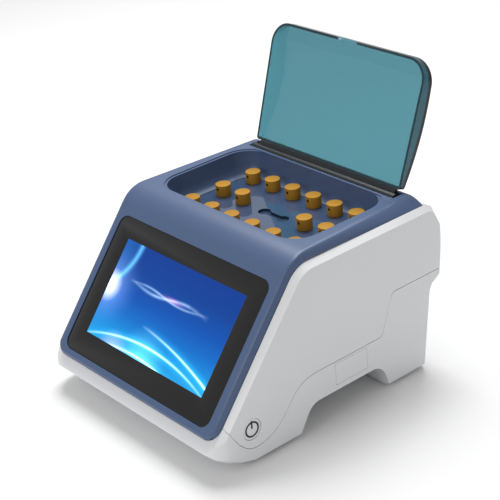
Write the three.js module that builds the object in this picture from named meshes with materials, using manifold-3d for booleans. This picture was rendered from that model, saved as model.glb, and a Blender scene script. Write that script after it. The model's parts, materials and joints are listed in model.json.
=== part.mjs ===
// Bench heating instrument: white two-part case, blue sloped cover with a touch screen,
// an open well with sixteen gold heating posts, and a teal see-through lid on a rear hinge.
// Millimetres, +Z up, +X to the right, -Y to the front. The origin is on the bench,
// under the middle of the whole object with its lid open.

import * as THREE from 'three';
import { mergeVertices } from 'three/addons/utils/BufferGeometryUtils.js';
import Module from 'manifold-3d';

const wasm = await Module();
wasm.setup();

// ---------- driving dimensions ----------

const GAP = 0.3;                       // clearance between pieces that touch
const WALL = 3;                        // case wall

const CASE_HALF = 112.5;               // half of the case width, over the flat sides
const EDGE_ROUND_X = 6;                // how far the case edge slopes inwards along X
const EDGE_ROUND_DROP = 3.8;           // how far the same edge drops
const SIDE_ROUND = { x: 1.2, drop: 4.6 };   // small rounding between that slope and the side
const SEAM_GAP = 0.6;                  // shadow gap between the two halves of the case
const FLAT_HALF = CASE_HALF - EDGE_ROUND_X;

const TOP_Z = 156.5;                   // top of the blue cover
const SLOPE = THREE.MathUtils.degToRad(51.2);   // front face from the horizontal
const KNEE_Y = -36.7;                  // where the front face would meet the top
const KNEE_RADIUS = 31;
const COVER_LENGTH = 155;              // cover along the front face, from the knee down
const COVER_BACK_Y = 104;
const COVER_DEPTH_FRONT = 5.5;         // cover edge above the white case, at the front
const COVER_DEPTH_BACK = 7.8;          // and at the back
const COVER_CORNER = 14;               // radius of its two front corners
const RIM_SINK = 1.2;                  // how far its rim sits down inside the case
const COVER_FLAT_FRONT = 103.7;        // half width of the cover's flat face, at the front
const COVER_FLAT_BACK = 96;            // and at the back
const COVER_EDGE = { inwards: 2.8, drop: 5.4, proud: 0.3 };   // rounding around its front outline
const COVER_SKIN = 3;                  // wall of the cover
const COVER_END_DROP = 4.6;            // how far its two ends roll down

const GLASS = { width: 192, height: 123, radius: 8.5, thick: 2.4, top: 24.5 };
const PANEL = { width: 154.2, height: 86, rise: 1.2 };   // rise: above the glass's middle
const GLASS_TOP = -0.5;                // glass below the cover's face

const WELL = { half: 88.5, front: -19.3, back: 84.4, radius: 22 };
const WELL_STEP = { width: 2.3, deep: 0.9 };   // shallow step around the well
const WELL_WALL = 2.4;
const FLOOR_Z = 133.3;
const WELL_FOOT = 8.5;                 // how far the well's wall curves in at its floor
const PLATE_THICK = 3.6;
const POST = { radius: 6.7, height: 10.5, pitchX: 26.1, pitchY: 34.4, middleY: 34.2, edge: 0.7 };
const POST_STEM = { radius: 4, length: 10 };
const POST_HOLE = { radius: 1.25, below: 3.7, deep: 4 };
const LIFT_SLOT = { lobe: 5.6, waist: 2.9, reach: 11.6, deep: 2.4 };
const BLOCK = { half: 78, front: -8, back: 76, deep: 22 };
const SENSOR = { radius: 2, length: 22, x: -74, y: 17, below: 16 };
const FOAM_WALL = 5;
const PELTIER = { size: 40, thick: 4, offset: 38 };
const HEATSINK = { half: 70, front: 0, back: 68, base: 6, fin: 24, fins: 15, finThick: 2 };

const PIN = { y: 91, z: 154.2, radius: 1.5, near: 80, far: 95 };   // near, far: along X
const BAR_RADIUS = 4;
const TROUGH = { half: 90, front: 86.6, back: 98.5, floor: 148.8 };
const LID = { length: 107, heelHalf: 89.4, freeHalf: 91.8, radius: 19, heelRadius: 3, wall: 2.2 };
const LID_HEIGHT = { heel: 3.6, rise: 11.4, middle: 11.6, free: 6.8 };
const LID_NOTCH = { radius: 26, below: 23.4 };   // shallow finger notch in its free edge
const LID_HEEL_Y = 83.9;
const LID_RIM_Z = TOP_Z + GAP;
const LID_OPEN = THREE.MathUtils.degToRad(108.8);

const LIP_Z = 24;                      // lower front edge of the case
const BACK_Y = 122.9;
const PLAN_RADIUS = { front: 20, back: 9 };   // corners of the case, seen from above
const SEAM_FRONT_Z = 53.4;
const SEAM_BACK_Z = 89;
const FOOT_HEIGHT = 1.6;

const BUTTON = { y: -97.1, z: 33.7, radius: 9, thick: 4, sunk: 0.3, stem: 3, stemLength: 6 };
const SWITCH = { size: 12, near: 11, far: 22 };   // distances from the case side
const HATCH = { y: 10, z: 41.5, width: 35, height: 19, thick: 1.4 };

const REAR = { z: 106, width: 128, height: 27, near: 116, far: 118 };
const INLET = { x: -42, width: 27, height: 20, near: 96, far: 118.4 };
const USB = { x: 8, width: 13.5, height: 6, near: 104, far: 118.2 };
const REAR_VENT = { count: 7, first: 30, pitch: 4.4, width: 2, half: 9 };

const FOOT = { radius: 7, buried: 1.4 };
const FOOT_PLACES = [[-94, -80], [94, -80], [-94, 76], [94, 76]];

const FAN = { size: 60, thick: 15, y: 34.2, z: 48, bore: 28, hub: 13, blades: 7 };
const FLOOR_VENT = { rows: 7, firstY: 2.2, pitch: 6, width: 3, half: 25 };   // slots over the arch
const SUPPLY = { half: 78, front: -72, back: -28, low: 46, high: 84 };

// Brings the middle of the whole object, lid open, over the origin.
const CENTRE_Y = 0.6755;

// ---------- colours ----------

const WHITE = { color: 0xe8e8e8, roughness: 0.35, metalness: 0 };
const BLUE = { color: 0x596b8c, roughness: 0.4, metalness: 0 };
const DEEP_BLUE = { color: 0x46609a, roughness: 0.12, metalness: 0 };
const TEAL = { color: 0x5f99a5, roughness: 0.08, metalness: 0 };
const BLACK = { color: 0x26282b, roughness: 0.45, metalness: 0 };
const GLASS_BLACK = { color: 0x313131, roughness: 0.08, metalness: 0 };
const GOLD = { color: 0xc89632, roughness: 0.35, metalness: 1 };
const ALUMINIUM = { color: 0xb9bcc0, roughness: 0.4, metalness: 1 };
const STEEL = { color: 0x9a9da1, roughness: 0.35, metalness: 1 };
const GREEN = { color: 0x1f5a3c, roughness: 0.5, metalness: 0 };
const CERAMIC = { color: 0xe6e2d8, roughness: 0.6, metalness: 0 };
const RUBBER = { color: 0x2b2b2b, roughness: 0.8, metalness: 0 };
const FOAM = { color: 0x3a3d42, roughness: 0.9, metalness: 0 };

// ---------- solids ----------

function solid(geometry, place = new THREE.Matrix4()) {
  const plain = geometry.clone();
  plain.deleteAttribute('normal');
  plain.deleteAttribute('uv');
  plain.applyMatrix4(place);
  const merged = mergeVertices(plain, 1e-4);
  return new wasm.Manifold(new wasm.Mesh({
    numProp: 3,
    vertProperties: new Float32Array(merged.attributes.position.array),
    triVerts: new Uint32Array(merged.index.array),
  }));
}

function geometryOf(body) {
  const mesh = body.getMesh();
  const geometry = new THREE.BufferGeometry();
  const points = new Float32Array(mesh.vertProperties);
  geometry.setAttribute('position', new THREE.BufferAttribute(points, 3));
  geometry.setIndex(new THREE.BufferAttribute(new Uint32Array(mesh.triVerts), 1));
  return geometry;
}

const at = (x, y, z) => new THREE.Matrix4().makeTranslation(x, y, z);

function box(x0, x1, y0, y1, z0, z1) {
  return solid(new THREE.BoxGeometry(x1 - x0, y1 - y0, z1 - z0),
    at((x0 + x1) / 2, (y0 + y1) / 2, (z0 + z1) / 2));
}

// A round bar along Z, X or Y, centred on the given point.
function round(radius, length, place, axis = 'z', sides = 32) {
  const turn = { z: [Math.PI / 2, 0, 0], x: [0, 0, Math.PI / 2], y: [0, 0, 0] }[axis];
  const matrix = new THREE.Matrix4().makeRotationFromEuler(new THREE.Euler(...turn));
  matrix.premultiply(at(...place));
  return solid(new THREE.CylinderGeometry(radius, radius, length, sides), matrix);
}

// A loop of (y, z) points pushed along X from x0 to x1.
const ALONG_X = new THREE.Matrix4().makeBasis(
  new THREE.Vector3(0, 1, 0), new THREE.Vector3(0, 0, 1), new THREE.Vector3(1, 0, 0));

function prismX(shape, x0, x1, options = {}) {
  const settings = { depth: x1 - x0, bevelEnabled: false, ...options };
  const geometry = new THREE.ExtrudeGeometry(shape, settings);
  return solid(geometry, at(x0, 0, 0).multiply(ALONG_X));
}

function prismZ(shape, z0, z1) {
  const settings = { depth: z1 - z0, bevelEnabled: false, curveSegments: 6 };
  const geometry = new THREE.ExtrudeGeometry(shape, settings);
  return solid(geometry, at(0, 0, z0));
}

function polygon(points) {
  return new THREE.Shape(points.map(([a, b]) => new THREE.Vector2(a, b)));
}

function roundedRect(x0, x1, y0, y1, radii) {
  const [bl, br, tr, tl] = Array.isArray(radii) ? radii : [radii, radii, radii, radii];
  const shape = new THREE.Shape();
  shape.moveTo(x0 + bl, y0);
  shape.lineTo(x1 - br, y0);
  shape.absarc(x1 - br, y0 + br, br, -Math.PI / 2, 0);
  shape.lineTo(x1, y1 - tr);
  shape.absarc(x1 - tr, y1 - tr, tr, 0, Math.PI / 2);
  shape.lineTo(x0 + tl, y1);
  shape.absarc(x0 + tl, y1 - tl, tl, Math.PI / 2, Math.PI);
  shape.lineTo(x0, y0 + bl);
  shape.absarc(x0 + bl, y0 + bl, bl, Math.PI, Math.PI * 1.5);
  return shape;
}

// The same loop moved inwards by a distance, corner by corner.
function inset(points, distance) {
  const count = points.length;
  return points.map(([x, y], i) => {
    const [px, py] = points[(i + count - 1) % count];
    const [nx, ny] = points[(i + 1) % count];
    const before = new THREE.Vector2(x - px, y - py).normalize();
    const after = new THREE.Vector2(nx - x, ny - y).normalize();
    const lean = new THREE.Vector2(-before.y - after.y, before.x + after.x).normalize();
    const stretch = distance / Math.max(0.5, lean.dot(new THREE.Vector2(-before.y, before.x)));
    return [x + lean.x * stretch, y + lean.y * stretch];
  });
}

// Joins rings of equal point counts into one closed body with flat ends.
function loft(rings) {
  const count = rings[0].length;
  const points = rings.flat();
  const faces = [];
  for (let r = 0; r < rings.length - 1; r += 1) {
    for (let i = 0; i < count; i += 1) {
      const a = r * count + i;
      const b = r * count + (i + 1) % count;
      faces.push(a, b, b + count, a, b + count, a + count);
    }
  }
  const last = (rings.length - 1) * count;
  for (let i = 1; i < count - 1; i += 1) {
    faces.push(0, i + 1, i);
    faces.push(last, last + i, last + i + 1);
  }
  const geometry = new THREE.BufferGeometry().setFromPoints(points);
  geometry.setIndex(faces);
  return solid(geometry);
}

function ring(shape, z, divisions = 6) {
  return shape.getPoints(divisions).slice(0, -1).map((p) => new THREE.Vector3(p.x, p.y, z));
}

// ---------- the frame of the sloped front face ----------
// Its own x is the object's X, its y runs up the slope and its z points out of the face.

const FRONT = new THREE.Matrix4().makeBasis(
  new THREE.Vector3(1, 0, 0),
  new THREE.Vector3(0, Math.cos(SLOPE), Math.sin(SLOPE)),
  new THREE.Vector3(0, -Math.sin(SLOPE), Math.cos(SLOPE)));
FRONT.setPosition(0, KNEE_Y, TOP_Z);

function onFront(shape, low, high, options = {}) {
  const settings = { depth: high - low, bevelEnabled: false, curveSegments: 6, ...options };
  const geometry = new THREE.ExtrudeGeometry(shape, settings);
  return solid(geometry, FRONT.clone().multiply(at(0, 0, low)));
}

// The case's front face continued to a height, set back from the cover's face.
function whiteFrontY(z, back = COVER_DEPTH_FRONT) {
  return KNEE_Y + (z - TOP_Z) / Math.tan(SLOPE) + back / Math.sin(SLOPE);
}

// ---------- case outline, seen from the right, (y, z) ----------

const WHITE_TOP = TOP_Z - COVER_DEPTH_BACK;

function kneeArc(radius, top) {
  const cornerY = whiteFrontY(top);
  const reach = radius * Math.tan(SLOPE / 2);
  const points = [];
  for (let i = 0; i <= 6; i += 1) {
    const angle = SLOPE * (1 - i / 6);
    const drop = radius * (1 - Math.cos(angle));
    points.push([cornerY + reach - radius * Math.sin(angle), top - drop]);
  }
  return points;
}

const UPPER_BACK = [
  [105, WHITE_TOP],
  [109.5, 147.2],
  [113.6, 144.5],
  [121.2, 129.4],
  [BACK_Y, 124.4],
  [BACK_Y, 117.4],
  [118.8, 84],
];

const LOWER_BACK = [
  [118.8, 84],
  [118, 81.2],
  [114, 78.6],
  [108.6, 75.6],
  [106.6, 72],
  [105.2, 62],
  [98, 6],
  [96.5, FOOT_HEIGHT],
];

const FRONT_RAMP = [
  [-97, FOOT_HEIGHT],
  [-107.8, 5],
  [-118.3, 10.4],
  [-128, 17],
  [whiteFrontY(LIP_Z), LIP_Z],
];

const TOP_ARC = kneeArc(KNEE_RADIUS - 6, WHITE_TOP).reverse();

// Outline of the whole case without the arch. Counter-clockwise, from the front foot.
const LOWER_OUTLINE = [
  ...[...FRONT_RAMP].reverse(),
  ...[...LOWER_BACK].reverse(),
  ...[...UPPER_BACK].reverse().slice(1),
  ...TOP_ARC,
];

// The upper half is drawn down to a low plane and then cut at the seam.
const CUT_Z = 4;
const UPPER_OUTLINE = [
  [whiteFrontY(CUT_Z), CUT_Z],
  [118.8, CUT_Z],
  ...[...UPPER_BACK].reverse(),
  ...TOP_ARC,
];

const ARCH = (() => {
  const shape = new THREE.Shape();
  shape.moveTo(-53, -5);
  shape.lineTo(-50, 2);
  shape.lineTo(-40, 18.5);
  shape.quadraticCurveTo(-35, 27, -26, 27);
  shape.lineTo(33, 27);
  shape.quadraticCurveTo(43.5, 27, 48, 16);
  shape.lineTo(53, 2);
  shape.lineTo(55, -5);
  return shape.getPoints(6).map((p) => [p.x, p.y]).reverse();
})();

// The case seen from above, moved inwards by a distance.
function plan(shrink) {
  const half = CASE_HALF - shrink;
  const front = PLAN_RADIUS.front - shrink;
  const back = PLAN_RADIUS.back - shrink;
  return roundedRect(-half, half, -136.8 + shrink, BACK_Y + 0.1 - shrink, [front, front, back, back]);
}

// The outline across the whole case, its two side edges eased over a width and a drop.
function easedPrism(points, width, drop, segments) {
  return prismX(polygon(points), -CASE_HALF + width, CASE_HALF - width, {
    bevelEnabled: true,
    bevelThickness: width,
    bevelSize: drop,
    bevelOffset: -drop,
    bevelSegments: segments,
  });
}

function caseBody(points) {
  return easedPrism(points, EDGE_ROUND_X, EDGE_ROUND_DROP, 1)
    .intersect(easedPrism(points, SIDE_ROUND.x, SIDE_ROUND.drop, 4))
    .intersect(prismZ(plan(0), -10, 200));
}

function caseInside(points) {
  const hollow = prismX(polygon(inset(points, WALL)), -CASE_HALF + WALL, CASE_HALF - WALL);
  return hollow.intersect(prismZ(plan(WALL), -10, 200));
}

// ---------- seam between the two halves of the case ----------

function seamRegion(shift) {
  const shape = new THREE.Shape();
  shape.moveTo(-160, 110 + shift);
  shape.lineTo(-121.5, 44.5 + shift);
  shape.bezierCurveTo(-113, 27 + shift, -105, 16.2 + shift, -94, 16.2 + shift);
  shape.bezierCurveTo(-78, 16.2 + shift, -67, 25 + shift, -57.7, 37.6 + shift);
  shape.bezierCurveTo(-50, 48 + shift, -42, SEAM_FRONT_Z + shift, -26, SEAM_FRONT_Z + shift);
  shape.lineTo(41, SEAM_FRONT_Z + shift);
  shape.quadraticCurveTo(45.6, SEAM_FRONT_Z + shift, 47.6, 59 + shift);
  shape.lineTo(57, 84.3 + shift);
  shape.quadraticCurveTo(58.8, SEAM_BACK_Z + shift, 63.4, SEAM_BACK_Z + shift);
  shape.lineTo(160, SEAM_BACK_Z + shift);
  shape.lineTo(160, -40);
  shape.lineTo(-160, -40);
  return prismX(polygon(shape.getPoints(7).map((p) => [p.x, p.y])), -150, 150);
}

// ---------- blue cover ----------

// Stations along the cover's surface, from the bottom of the front face to the back.
function coverStations(trim, endDrop) {
  const reach = KNEE_RADIUS * Math.tan(SLOPE / 2);
  const along = new THREE.Vector2(Math.cos(SLOPE), Math.sin(SLOPE));
  const stations = [];
  const add = (y, z, angle, drop = 0) => stations.push({ y, z, angle, drop });
  const onSlope = (d) => [KNEE_Y - along.x * d, TOP_Z - along.y * d];
  add(...onSlope(COVER_LENGTH - trim), SLOPE, endDrop);
  add(...onSlope(COVER_LENGTH - trim - 0.6), SLOPE, endDrop / 2.2);
  add(...onSlope(COVER_LENGTH - trim - 2.4), SLOPE, 0);
  for (let i = 0; i <= 8; i += 1) {
    const angle = SLOPE * (1 - i / 8);
    const y = KNEE_Y + reach - KNEE_RADIUS * Math.sin(angle);
    add(y, TOP_Z - KNEE_RADIUS * (1 - Math.cos(angle)), angle);
  }
  add(40, TOP_Z, 0);
  add(COVER_BACK_Y - trim - 5, TOP_Z, 0);
  add(COVER_BACK_Y - trim - 2.4, TOP_Z, 0, endDrop * 0.15);
  add(COVER_BACK_Y - trim, TOP_Z, 0, endDrop * 0.6);
  return stations;
}

// The cover's right edge: an upright rim, then a slope with a slight belly, eased into the flat face.
function bevelProfile(edge, flat, low, depth, top) {
  const alongSlope = (t, belly) => new THREE.Vector2(
    edge - t * (edge - flat) + belly, -depth + t * (top + depth) + belly);
  return [
    new THREE.Vector2(edge, -low),
    alongSlope(0, 0),
    alongSlope(0.3, 0.25),
    alongSlope(0.62, 0.3),
    alongSlope(0.86, 0.15),
    new THREE.Vector2(flat - 0.9, top - 0.05),
    new THREE.Vector2(flat - 2.4, top),
  ];
}

function coverLoft(margin, trim, under) {
  const stations = coverStations(trim, margin > 0 ? 0 : COVER_END_DROP);
  const total = COVER_BACK_Y - KNEE_Y;
  const rings = stations.map((s) => {
    const t = THREE.MathUtils.clamp((s.y - KNEE_Y) / total, 0, 1);
    const depth = THREE.MathUtils.lerp(COVER_DEPTH_FRONT, COVER_DEPTH_BACK, t);
    const flat = THREE.MathUtils.lerp(COVER_FLAT_FRONT, COVER_FLAT_BACK, t) - margin;
    const edge = FLAT_HALF - GAP - margin;
    const top = -margin - s.drop;
    const right = bevelProfile(edge, flat, depth + under, depth, top);
    const left = right.map((p) => new THREE.Vector2(-p.x, p.y)).reverse();
    const up = new THREE.Vector2(-Math.sin(s.angle), Math.cos(s.angle));
    return [...right, ...left]
      .map((p) => new THREE.Vector3(p.x, s.y + up.x * p.y, s.z + up.y * p.y));
  });
  return loft(rings.reverse());
}

// The cover as a full block, its rim sunk a little way into the case.
function coverBlank(grow) {
  const corner = COVER_CORNER + grow;
  const half = FLAT_HALF - GAP + grow;
  const frontShape = roundedRect(-half, half, -COVER_LENGTH - 0.2 - grow, 220, corner);
  const top = COVER_EDGE.proud + grow;
  const outlineBlock = onFront(frontShape, -200, top - COVER_EDGE.drop, {
    bevelEnabled: true,
    bevelThickness: COVER_EDGE.drop,
    bevelSize: COVER_EDGE.inwards,
    bevelOffset: -COVER_EDGE.inwards,
    bevelSegments: 6,
  });
  return coverLoft(-grow, -grow, RIM_SINK + grow).intersect(outlineBlock);
}

function wellRect(grow) {
  const half = WELL.half + grow;
  return roundedRect(-half, half, WELL.front - grow, WELL.back + grow, WELL.radius + grow);
}

function wellCavity() {
  const levels = [
    [TOP_Z + 10, 0],
    [TOP_Z - 4, 0],
    [FLOOR_Z + 9, -1],
    [FLOOR_Z + 4, -2.4],
    [FLOOR_Z + 1.4, -5],
    [FLOOR_Z + 0.3, -WELL_FOOT],
    [FLOOR_Z - 20, -WELL_FOOT],
  ];
  return loft(levels.reverse().map(([z, grow]) => ring(wellRect(grow), z)));
}

// A hinge pin on one side, -1 or 1, or with a gap grown on it the bore that it sits in.
function pinBar(side, grow) {
  const middle = side * (PIN.near + PIN.far) / 2;
  return round(PIN.radius + grow, PIN.far - PIN.near + 2 * grow, [middle, PIN.y, PIN.z], 'x', 16);
}

function topCover() {
  let cover = coverBlank(0).subtract(coverLoft(COVER_SKIN, COVER_SKIN, 4));
  const tub = prismZ(wellRect(WELL_WALL), FLOOR_Z - 3, TOP_Z - 1);
  const trough = box(-TROUGH.half - 7, TROUGH.half + 7, TROUGH.front - 2, TROUGH.back + 2,
    TROUGH.floor - WELL_WALL, TOP_Z - 1);
  cover = cover.add(tub).add(trough);
  cover = cover.subtract(wellCavity());
  const behindWell = box(-95, 95, WELL.back - 0.2, 100, 150, 160);
  const step = prismZ(wellRect(WELL_STEP.width), TOP_Z - WELL_STEP.deep, TOP_Z + 1);
  cover = cover.subtract(step.subtract(behindWell));
  cover = cover.subtract(
    box(-TROUGH.half, TROUGH.half, TROUGH.front, TROUGH.back, TROUGH.floor, TOP_Z + 1));
  for (const side of [-1, 1]) {
    cover = cover.subtract(pinBar(side, GAP));
  }
  cover = cover.subtract(onFront(glassShape(GAP), -20, 5));
  return cover;
}

// ---------- screen ----------

function glassShape(grow) {
  const half = GLASS.width / 2 + grow;
  const low = -GLASS.top - GLASS.height - grow;
  return roundedRect(-half, half, low, -GLASS.top + grow, GLASS.radius + grow);
}

function panelRect(growX, growY) {
  const middle = -GLASS.top - GLASS.height / 2 + PANEL.rise;
  const x = PANEL.width / 2 + growX;
  const y = PANEL.height / 2 + growY;
  const shape = new THREE.Shape();
  shape.moveTo(-x, middle - y);
  shape.lineTo(x, middle - y);
  shape.lineTo(x, middle + y);
  shape.lineTo(-x, middle + y);
  return shape;
}

function screenGlass() {
  return onFront(glassShape(0), GLASS_TOP - GLASS.thick, GLASS_TOP);
}

function displayPanel() {
  return onFront(panelRect(5, 5), -9.5, GLASS_TOP - GLASS.thick - GAP);
}

function screenBracket() {
  const plate = onFront(panelRect(15, 14), -12.4, -4);
  return plate.subtract(onFront(panelRect(5 + GAP, 5 + GAP), -9.8, 0))
    .subtract(onFront(panelRect(-12, -12), -30, 0));
}

function controlBoard() {
  return onFront(panelRect(-14, -13.5), -16.4, -14.8);
}

// ---------- case halves ----------

// What both halves leave free: the way in under the cover, and the cover's own bed.
function underCover() {
  const slot = onFront(roundedRect(-99, 99, -COVER_LENGTH + 6, 60, [8, 8, 1, 1]), -14, 5);
  const top = box(-99, 99, KNEE_Y - 10, COVER_BACK_Y - 3, TOP_Z - 20, TOP_Z + 5);
  return slot.add(top).add(coverBlank(GAP));
}

// The side hatch, between two distances inwards from the case side.
function hatchBox(deep, near, grow) {
  const halfWidth = HATCH.width / 2 + grow;
  const halfHeight = HATCH.height / 2 + grow;
  return box(CASE_HALF - deep, CASE_HALF - near, HATCH.y - halfWidth, HATCH.y + halfWidth,
    HATCH.z - halfHeight, HATCH.z + halfHeight);
}

function baseShell() {
  let shell = caseBody(LOWER_OUTLINE);
  const arch = prismX(polygon(ARCH), -130, 130);
  const archSkin = prismX(polygon(inset(ARCH, -WALL)), -CASE_HALF + WALL, CASE_HALF - WALL);
  shell = shell.subtract(caseInside(LOWER_OUTLINE).subtract(archSkin)).subtract(arch);
  shell = shell.intersect(seamRegion(-SEAM_GAP / 2)).subtract(underCover());
  for (let i = 0; i < FLOOR_VENT.rows; i += 1) {
    const y = FLOOR_VENT.firstY + i * FLOOR_VENT.pitch;
    shell = shell.subtract(box(-FLOOR_VENT.half, FLOOR_VENT.half, y, y + FLOOR_VENT.width, 20, 34));
  }
  shell = shell.subtract(hatchBox(HATCH.thick + 0.2, -5, GAP));
  for (const [x, y] of FOOT_PLACES) {
    const pad = round(FOOT.radius + 3, 3, [x, y, FOOT_HEIGHT + 4], 'z', 24);
    shell = shell.subtract(round(FOOT.radius + GAP, 4, [x, y, FOOT_HEIGHT], 'z', 24));
    shell = shell.add(pad.intersect(caseBody(LOWER_OUTLINE)));
  }
  return shell;
}

function upperShell() {
  let shell = caseBody(UPPER_OUTLINE).subtract(caseInside(UPPER_OUTLINE));
  shell = shell.subtract(seamRegion(SEAM_GAP / 2));
  shell = shell.subtract(underCover());
  shell = shell.subtract(round(BUTTON.radius + GAP, 20, [CASE_HALF, BUTTON.y, BUTTON.z], 'x', 40));
  shell = shell.subtract(rearBlock(REAR, 110, 130, GAP));
  return shell;
}

// ---------- rear panel ----------

// A block in the rear face, as wide and high as a fitting there, around the panel's middle.
function rearBlock({ x = 0, width, height }, near, far, grow = 0, up = 0) {
  const halfWidth = width / 2 + grow;
  const halfHeight = height / 2 + grow;
  return box(x - halfWidth, x + halfWidth, near, far, REAR.z + up - halfHeight, REAR.z + up + halfHeight);
}

function rearPanel() {
  let panel = rearBlock(REAR, REAR.near, REAR.far);
  for (const hole of [INLET, USB]) {
    panel = panel.subtract(rearBlock(hole, 100, 130, GAP));
  }
  for (let i = 0; i < REAR_VENT.count; i += 1) {
    const x = REAR_VENT.first + i * REAR_VENT.pitch;
    panel = panel.subtract(
      box(x, x + REAR_VENT.width, 100, 130, REAR.z - REAR_VENT.half, REAR.z + REAR_VENT.half));
  }
  return panel;
}

// The inlet's socket is a moat around a block that would carry the contacts.
function mainsInlet() {
  const moat = rearBlock({ ...INLET, width: 24, height: 16 }, 103, 130);
  const island = rearBlock({ ...INLET, width: 19, height: 12 }, 100, 117.5);
  return rearBlock(INLET, INLET.near, INLET.far).subtract(moat.subtract(island));
}

function usbPort() {
  const mouth = rearBlock({ ...USB, width: 11.6, height: 4.4 }, 109, 130);
  const tongue = rearBlock({ ...USB, width: 10.4, height: 1.7 }, 108, 117, 0, 0.75);
  return rearBlock(USB, USB.near, USB.far).subtract(mouth.subtract(tongue));
}

// ---------- heated parts in the well ----------

const POST_PLACES = [];
for (const row of [1, 0, -1]) {
  for (const column of [-2.5, -1.5, -0.5, 0.5, 1.5, 2.5]) {
    if (row !== 0 || Math.abs(column) > 1) {
      POST_PLACES.push([column * POST.pitchX, POST.middleY + row * POST.pitchY]);
    }
  }
}

function liftSlot() {
  const { lobe, waist, reach } = LIFT_SLOT;
  const angle = Math.asin(waist / lobe);
  const shape = new THREE.Shape();
  shape.absarc(reach, POST.middleY, lobe, -Math.PI + angle, Math.PI - angle);
  shape.absarc(-reach, POST.middleY, lobe, angle, 2 * Math.PI - angle);
  return shape;
}

function blockPlate() {
  let plate = prismZ(wellRect(-WELL_FOOT - GAP), FLOOR_Z - PLATE_THICK, FLOOR_Z);
  plate = plate.subtract(prismZ(liftSlot(), FLOOR_Z - LIFT_SLOT.deep, FLOOR_Z + 1));
  for (const [x, y] of POST_PLACES) {
    plate = plate.subtract(round(POST_STEM.radius + GAP, 20, [x, y, FLOOR_Z], 'z', 10));
  }
  return plate;
}

const BLOCK_TOP = FLOOR_Z - PLATE_THICK - GAP;
const BLOCK_LOW = FLOOR_Z - BLOCK.deep;
const SENSOR_Z = FLOOR_Z - SENSOR.below;

// The block's rectangle, grown or shrunk on all four sides.
function blockBox(grow, low, high) {
  return box(-BLOCK.half - grow, BLOCK.half + grow, BLOCK.front - grow, BLOCK.back + grow, low, high);
}

function heatingBlock() {
  let block = blockBox(0, BLOCK_LOW, BLOCK_TOP);
  for (const [x, y] of POST_PLACES) {
    block = block.subtract(round(POST_STEM.radius + GAP, 24, [x, y, FLOOR_Z], 'z', 10));
  }
  return block.subtract(round(SENSOR.radius + GAP, 30, [SENSOR.x + 4, SENSOR.y, SENSOR_Z], 'x', 12));
}

function heatingPost(x, y) {
  const top = FLOOR_Z + POST.height;
  const profile = [
    [0, FLOOR_Z - POST_STEM.length],
    [POST_STEM.radius, FLOOR_Z - POST_STEM.length],
    [POST_STEM.radius, FLOOR_Z + 0.2],
    [POST.radius, FLOOR_Z + 0.2],
    [POST.radius, top - POST.edge],
    [POST.radius - POST.edge, top],
    [0, top],
  ];
  const lathe = new THREE.LatheGeometry(profile.map(([r, z]) => new THREE.Vector2(r, z)), 20);
  const body = solid(lathe, at(x, y, 0).multiply(new THREE.Matrix4().makeRotationX(Math.PI / 2)));
  const hole = [x, y - POST.radius, top - POST_HOLE.below];
  return body.subtract(round(POST_HOLE.radius, POST_HOLE.deep * 2, hole, 'y', 8));
}

const SINK_TOP = BLOCK_LOW - PELTIER.thick - 2 * GAP;

function heatsink() {
  const { half, front, back, base, fin, fins, finThick } = HEATSINK;
  const root = SINK_TOP - base;
  let sink = box(-half, half, front, back, root, SINK_TOP);
  for (let i = 0; i < fins; i += 1) {
    const x = -half + 1 + i * (2 * half - finThick - 2) / (fins - 1);
    sink = sink.add(box(x, x + finThick, front, back, root - fin, root + 1));
  }
  return sink;
}

function insulation() {
  const way = [SENSOR.x - 6, SENSOR.y, SENSOR_Z];
  return blockBox(FOAM_WALL, BLOCK_LOW, BLOCK_TOP - 0.6)
    .subtract(blockBox(GAP, 0, 200))
    .subtract(round(SENSOR.radius + GAP, 30, way, 'x', 12));
}

// One Peltier plate under the block, on the side given as -1 or 1.
function peltier(side) {
  const half = PELTIER.size / 2;
  const middle = side * PELTIER.offset;
  const top = BLOCK_LOW - GAP;
  return box(middle - half, middle + half, POST.middleY - half, POST.middleY + half,
    top - PELTIER.thick, top);
}

// ---------- fan ----------

function fanFrame() {
  const half = FAN.size / 2;
  const low = FAN.z - FAN.thick / 2;
  const square = roundedRect(-half, half, FAN.y - half, FAN.y + half, 4);
  let frame = prismZ(square, low, low + FAN.thick);
  frame = frame.subtract(round(FAN.bore, 40, [0, FAN.y, FAN.z], 'z', 28));
  frame = frame.add(round(FAN.hub - 1, 2, [0, FAN.y, low + 1], 'z', 20));
  for (let i = 0; i < 3; i += 1) {
    const turn = new THREE.Matrix4().makeRotationZ(0.3 + i * Math.PI / 3);
    frame = frame.add(solid(new THREE.BoxGeometry(58, 3, 2), at(0, FAN.y, low + 1).multiply(turn)));
  }
  return frame;
}

function fanRotor() {
  let rotor = round(FAN.hub, 10, [0, FAN.y, FAN.z + 1], 'z', 20);
  for (let i = 0; i < FAN.blades; i += 1) {
    const place = at(0, FAN.y, FAN.z + 1);
    place.multiply(new THREE.Matrix4().makeRotationZ(i * 2 * Math.PI / FAN.blades));
    place.multiply(at(19, 0, 0));
    place.multiply(new THREE.Matrix4().makeRotationX(0.7));
    rotor = rotor.add(solid(new THREE.BoxGeometry(15, 1.6, 9), place));
  }
  return rotor;
}

function powerSupply() {
  return box(-SUPPLY.half, SUPPLY.half, SUPPLY.front, SUPPLY.back, SUPPLY.low, SUPPLY.high);
}

// ---------- power button ----------

function powerButton() {
  const face = CASE_HALF - BUTTON.sunk;
  const cap = round(BUTTON.radius, BUTTON.thick, [face - BUTTON.thick / 2, BUTTON.y, BUTTON.z], 'x', 40);
  return cap.add(round(BUTTON.stem, BUTTON.stemLength, [face - 6, BUTTON.y, BUTTON.z], 'x', 20));
}

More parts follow.
